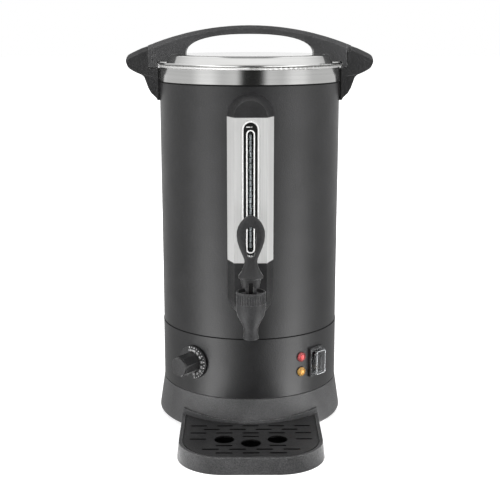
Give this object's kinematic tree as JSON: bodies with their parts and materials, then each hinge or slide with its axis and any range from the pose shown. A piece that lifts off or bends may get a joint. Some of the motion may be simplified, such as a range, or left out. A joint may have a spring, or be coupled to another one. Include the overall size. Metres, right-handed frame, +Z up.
{
  "type": "hot water urn",
  "caption": "Double-walled hot water urn with a twist-lock lid, arch handle, level gauge, lever tap, dial, switch, lamps and a drip tray.",
  "frame": {"origin": "the vessel's upright axis at the height of the table it stands on", "axes": "+Z up along the vessel's axis, -Y the front with the tap and the drip tray, +X the right side seen from the front, towards the switch"},
  "size_m": [0.305, 0.3541, 0.4965],
  "materials": {
    "coated_steel": "matte black powder coat",
    "bright_steel": "polished and lightly brushed",
    "black_plastic": "matte moulded",
    "tray_plastic": "matte moulded",
    "satin_steel": "satin brushed",
    "dark_insert": "satin black",
    "clear_plastic": "clear",
    "gauge_glass": "clear",
    "scale_print": "satin grey",
    "silicone": "soft",
    "foot_rubber": "soft",
    "fitting": "natural nylon",
    "alloy": "cast",
    "element_sheath": "dull",
    "ceramic": "moulded phenolic",
    "copper_pipe": "drawn",
    "lead_cover": "braided",
    "red_lens": "clear red",
    "amber_lens": "clear amber",
    "reset_red": "moulded",
    "clear_boot": "soft clear"
  },
  "bodies": {
    "root": {"outer_shell": "coated_steel", "rim_band": "bright_steel", "inner_tank": "bright_steel", "base_band": "coated_steel", "foot_ring": "black_plastic", "base_plate": "bright_steel", "feet": "foot_rubber", "base_screws": "bright_steel", "tie_rod": "bright_steel", "tie_nut": "bright_steel", "heat_plate": "alloy", "heating_element": "element_sheath", "thermostat": "ceramic", "sensor_bulb": "copper_pipe", "thermal_cutout": "ceramic", "terminal_block": "ceramic", "wiring": "lead_cover", "cable_gland": "black_plastic", "ear_left": "black_plastic", "ear_right": "black_plastic", "ear_screws": "bright_steel", "gauge_foot": "black_plastic", "gauge_cap": "black_plastic", "gauge_cover": "satin_steel", "gauge_panel": "dark_insert", "gauge_lens": "clear_plastic", "gauge_tube": "gauge_glass", "gauge_back": "dark_insert", "gauge_scale": "scale_print", "gauge_elbow": "fitting", "gauge_seals": "silicone", "tap_shank": "fitting", "shank_nut": "bright_steel", "shank_seals": "silicone", "tap_body": "black_plastic", "tap_collar": "black_plastic", "tap_spring": "bright_steel", "red_lamp": "red_lens", "amber_lamp": "amber_lens", "switch_frame": "dark_insert", "switch_boot": "clear_boot"},
    "lid_seal": {"lid_gasket": "silicone"},
    "lid": {"lid_dome": "bright_steel", "lid_liner": "bright_steel", "lid_handle": "black_plastic", "lid_screws": "bright_steel"},
    "valve": {"tap_stem": "fitting", "seat_cup": "silicone", "lever_pin": "bright_steel"},
    "lever": {"tap_lever": "black_plastic"},
    "dial": {"dial_knob": "black_plastic", "dial_shaft": "bright_steel"},
    "rocker": {"switch_rocker": "dark_insert"},
    "reset": {"reset_button": "reset_red"},
    "tray": {"drip_tray": "tray_plastic"},
    "grille": {"drip_grille": "tray_plastic"}
  },
  "joints": [
    {"name": "lid_lift", "type": "slide", "parent": "root", "child": "lid_seal", "axis": [0, 0, 1], "range_m": [0, 0.12]},
    {"name": "lid_twist", "type": "hinge", "parent": "lid_seal", "child": "lid", "pos_m": [0, 0, 0.451], "axis": [0, 0, 1], "range_deg": [0, 30]},
    {"name": "tap_lift", "type": "slide", "parent": "root", "child": "valve", "axis": [0, 0, 1], "range_m": [0, 0.00207], "stiffness_N_per_m": 1500, "springref_m": -0.006, "deforming": ["tap_spring"]},
    {"name": "tap_lever_pull", "type": "hinge", "parent": "valve", "child": "lever", "pos_m": [0, -0.162, 0.2041], "axis": [1, 0, 0], "range_deg": [0, 34]},
    {"name": "dial_turn", "type": "hinge", "parent": "root", "child": "dial", "pos_m": [-0.06997, -0.08797, 0.0895], "axis": [0.6225, 0.7826, 0], "range_deg": [0, 270]},
    {"name": "switch_tilt", "type": "hinge", "parent": "root", "child": "rocker", "pos_m": [0.08143, -0.07863, 0.0875], "axis": [-0.6947, -0.7193, 0], "range_deg": [0, 18]},
    {"name": "reset_press", "type": "slide", "parent": "root", "child": "reset", "axis": [0, 0, 1], "range_m": [0, 0.0015], "stiffness_N_per_m": 300, "springref_m": -0.003},
    {"name": "tray_slide", "type": "slide", "parent": "root", "child": "tray", "axis": [0, -1, 0], "range_m": [0, 0.12]},
    {"name": "grille_lift", "type": "slide", "parent": "tray", "child": "grille", "axis": [0, 0, 1], "range_m": [0, 0.05]}
  ],
  "couplings": [
    {"joint": "tap_lever_pull", "follows": "tap_lift", "rad_per_m": 285.7}
  ]
}
